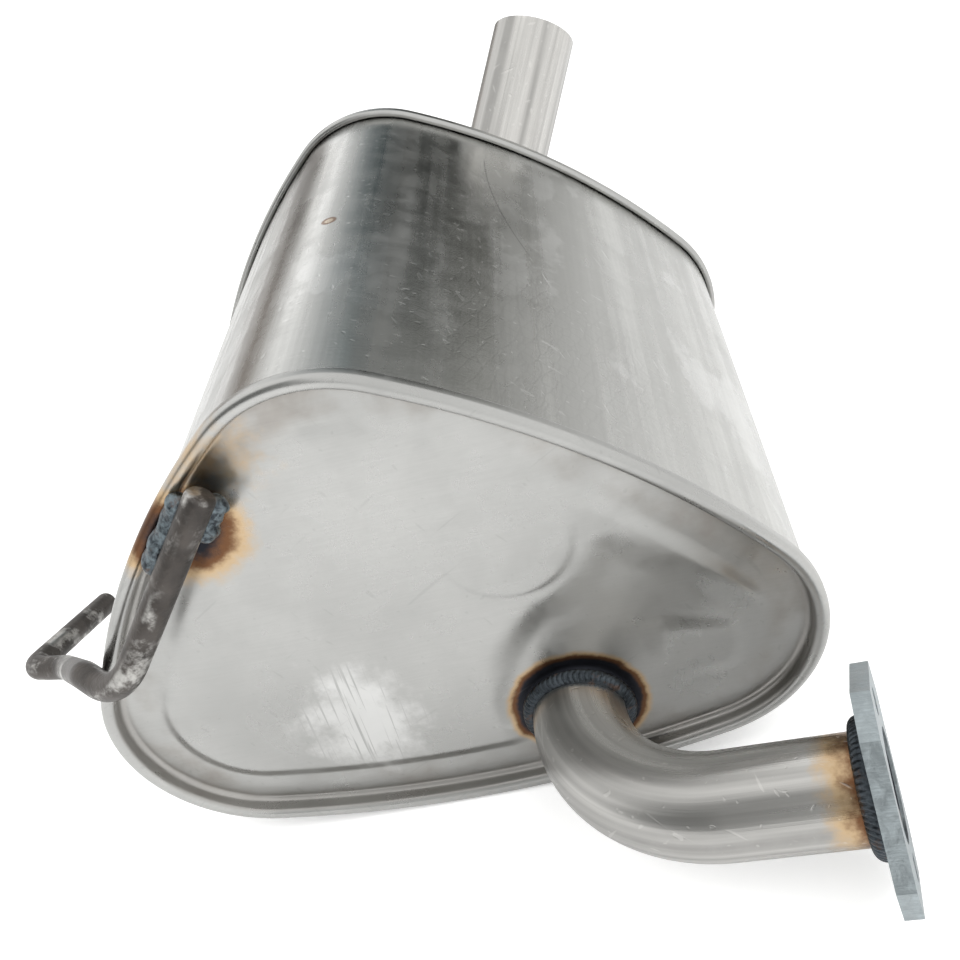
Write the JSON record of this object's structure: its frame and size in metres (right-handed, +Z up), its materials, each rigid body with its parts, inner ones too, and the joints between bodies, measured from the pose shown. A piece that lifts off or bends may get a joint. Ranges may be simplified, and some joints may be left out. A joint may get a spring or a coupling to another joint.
{
  "type": "rear muffler",
  "caption": "Stainless rear muffler with locked end caps, bent inlet pipe on a two bolt flange, bent tail pipe and hanger rod.",
  "frame": {"origin": "centre of the inlet flange's sealing face", "axes": "+Y along the body from the inlet end to the tail end, +X along the flat side towards the flange, +Z up from the flat side"},
  "size_m": [0.4105, 0.5184, 0.245],
  "materials": {
    "cap_steel": "satin",
    "skin_steel": "satin",
    "pipe_steel": "satin",
    "flange_steel": "rough",
    "rod_steel": "rough",
    "weld_metal": "rough",
    "inner_steel": "satin",
    "steel_mesh": "rough",
    "glass_wool": "matte"
  },
  "bodies": {
    "root": {"front_cap": "cap_steel", "rear_cap": "cap_steel", "body_shell": "skin_steel", "inner_liner": "inner_steel", "front_baffle": "inner_steel", "rear_baffle": "inner_steel", "inlet_tube": "inner_steel", "outlet_tube": "inner_steel", "return_tube": "inner_steel", "inlet_mesh_sleeve": "steel_mesh", "outlet_mesh_sleeve": "steel_mesh", "glass_wool_packing": "glass_wool", "inlet_pipe": "pipe_steel", "tail_pipe": "pipe_steel", "inlet_flange": "flange_steel", "inlet_flange_weld": "weld_metal", "inlet_neck_weld": "weld_metal", "tail_neck_weld": "weld_metal", "hanger_rod": "rod_steel", "hanger_weld_left": "weld_metal", "hanger_weld_right": "weld_metal"}
  },
  "joints": []
}
